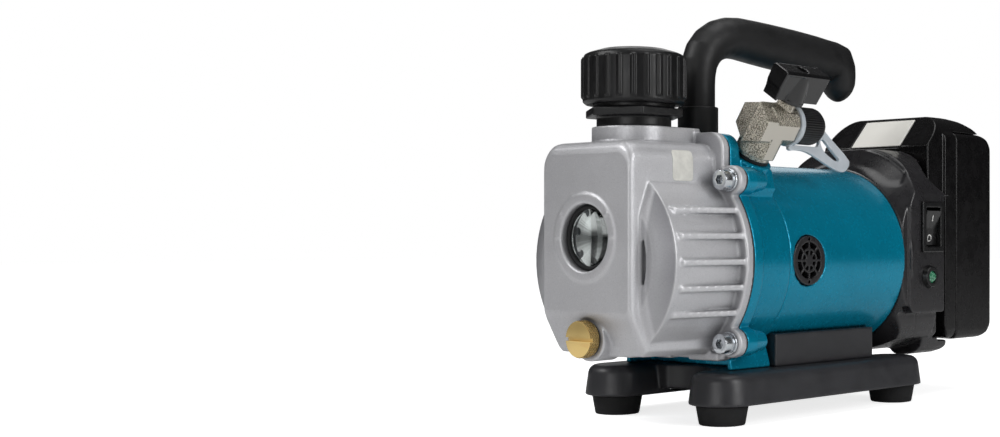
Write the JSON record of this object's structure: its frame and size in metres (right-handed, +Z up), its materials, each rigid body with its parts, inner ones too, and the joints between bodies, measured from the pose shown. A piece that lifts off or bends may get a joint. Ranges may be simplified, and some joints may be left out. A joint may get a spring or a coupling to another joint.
{
  "type": "cordless rotary vane vacuum pump",
  "caption": "Cordless rotary-vane vacuum pump with cast oil case, sight glass, carry handle, intake ball valve and slide-on battery on a footed base.",
  "frame": {"origin": "on the floor, under the shaft centre line, midway between the four feet", "axes": "+Z up, +Y towards the battery end, -Y towards the sight glass, +X towards the switch and intake side"},
  "size_m": [0.1119, 0.2702, 0.1867],
  "materials": {
    "cast_aluminium": "as-cast, satin",
    "teal_paint": "gloss paint",
    "handle_black": "fine grained, satin",
    "base_black": "satin moulded",
    "housing_black": "fine grained",
    "cap_black": "satin moulded",
    "knob_black": "gloss moulded",
    "battery_black": "fine grained",
    "button_grey": "satin moulded",
    "switch_black": "satin moulded",
    "lamp_green": "clear tinted",
    "nickel": "blasted nickel plate",
    "zinc_steel": "bright zinc plate",
    "ground_steel": "ground",
    "brass": "turned",
    "reflector": "turned, polished",
    "glass": "clear",
    "rubber_black": "matt",
    "strap_clear": "translucent",
    "gasket_black": "matt",
    "iron": "ground",
    "magnet": "sintered",
    "copper_winding": "varnished",
    "carbon": "pressed",
    "filter_fibre": "pressed fibre",
    "board_green": "lacquered",
    "cell_wrap": "shrink wrap"
  },
  "bodies": {
    "root": {"oil_case": "cast_aluminium", "cover_gasket": "gasket_black", "case_bolts": "zinc_steel", "bolt_washers": "zinc_steel", "sight_lens": "glass", "sight_reflector": "reflector", "sight_oring": "rubber_black", "filler_adapter": "cap_black", "mist_filter": "filter_fibre", "handle": "handle_black", "handle_collar": "handle_black", "handle_stud": "zinc_steel", "crankcase": "teal_paint", "intake_valve_body": "nickel", "valve_seal_washer": "rubber_black", "cap_strap": "strap_clear", "motor_housing": "teal_paint", "vent_grille": "housing_black", "motor_foot": "base_black", "field_magnets": "magnet", "brushes": "carbon", "front_bearing": "ground_steel", "rear_bearing": "ground_steel", "motor_end_bell": "housing_black", "shaft_seal": "rubber_black", "pump_stator": "iron", "pump_front_plate": "iron", "reed_stop": "ground_steel", "pump_screws": "zinc_steel", "rear_housing": "housing_black", "rocker_bezel": "switch_black", "lamp_bezel": "switch_black", "lamp_lens": "lamp_green", "control_board": "board_green", "base_frame": "base_black", "rubber_feet": "rubber_black", "base_screws": "zinc_steel"},
    "rotor": {"motor_shaft": "ground_steel", "armature": "copper_winding", "commutator": "copper_winding", "cooling_fan": "housing_black", "pump_rotor": "ground_steel", "vanes": "carbon", "vane_springs": "ground_steel"},
    "cap_seal_ring": {"cap_seal": "gasket_black"},
    "oil_cap": {"filler_cap": "cap_black"},
    "drain_seal": {"drain_washer": "rubber_black"},
    "drain_screw": {"drain_plug": "brass"},
    "valve_spindle": {"valve_knob": "knob_black", "valve_stem": "ground_steel", "valve_ball": "ground_steel"},
    "port_disc": {"port_seal": "gasket_black"},
    "intake_cap": {"port_cap": "cap_black"},
    "switch_rocker": {"rocker": "switch_black"},
    "battery_pack": {"battery_case": "battery_black", "battery_upper_shell": "battery_black", "battery_cells": "cell_wrap"},
    "release_button": {"battery_button": "button_grey"},
    "reed": {"reed_valve": "ground_steel"}
  },
  "joints": [
    {"name": "shaft_spin", "type": "hinge", "parent": "root", "child": "rotor", "pos_m": [0, 0, 0.0715], "axis": [0, 1, 0], "continuous": true},
    {"name": "cap_lift", "type": "slide", "parent": "root", "child": "cap_seal_ring", "axis": [0, 0, 1], "range_m": [0, 0.0168]},
    {"name": "cap_turn", "type": "hinge", "parent": "cap_seal_ring", "child": "oil_cap", "pos_m": [0, -0.0841, 0.15], "axis": [0, 0, 1], "range_deg": [0, 1446]},
    {"name": "drain_lift", "type": "slide", "parent": "root", "child": "drain_seal", "axis": [0, -1, 0], "range_m": [0, 0.012]},
    {"name": "drain_turn", "type": "hinge", "parent": "drain_seal", "child": "drain_screw", "pos_m": [0, -0.112, 0.0385], "axis": [0, -1, 0], "range_deg": [0, 2886]},
    {"name": "valve_turn", "type": "hinge", "parent": "root", "child": "valve_spindle", "pos_m": [0.0333, -0.0374, 0.1178], "axis": [0.5519, 0, 0.8339], "range_deg": [0, 90]},
    {"name": "port_lift", "type": "slide", "parent": "root", "child": "port_disc", "axis": [0, 1, 0], "range_m": [0, 0.01016], "deforming": ["cap_strap"]},
    {"name": "port_turn", "type": "hinge", "parent": "port_disc", "child": "intake_cap", "pos_m": [0.04324, -0.043, 0.13281], "axis": [0, 1, 0], "range_deg": [0, 2886]},
    {"name": "rocker_tilt", "type": "hinge", "parent": "root", "child": "switch_rocker", "pos_m": [0.0416, 0.0818, 0.0873], "axis": [0, 1, 0], "range_deg": [-22, 0]},
    {"name": "battery_slide", "type": "slide", "parent": "root", "child": "battery_pack", "axis": [0, 0, 1], "range_m": [0, 0.12]},
    {"name": "button_press", "type": "slide", "parent": "battery_pack", "child": "release_button", "axis": [0, 1, 0], "range_m": [0, 0.004], "stiffness_N_per_m": 600},
    {"name": "reed_lift", "type": "hinge", "parent": "root", "child": "reed", "pos_m": [0, -0.0855, 0.0807], "axis": [1, 0, 0], "range_deg": [0, 5], "stiffness_Nm_per_rad": 0.05}
  ],
  "couplings": [
    {"joint": "cap_turn", "follows": "cap_lift", "rad_per_m": 1496},
    {"joint": "drain_turn", "follows": "drain_lift", "rad_per_m": 4188.8},
    {"joint": "port_turn", "follows": "port_lift", "rad_per_m": 4947.4}
  ]
}
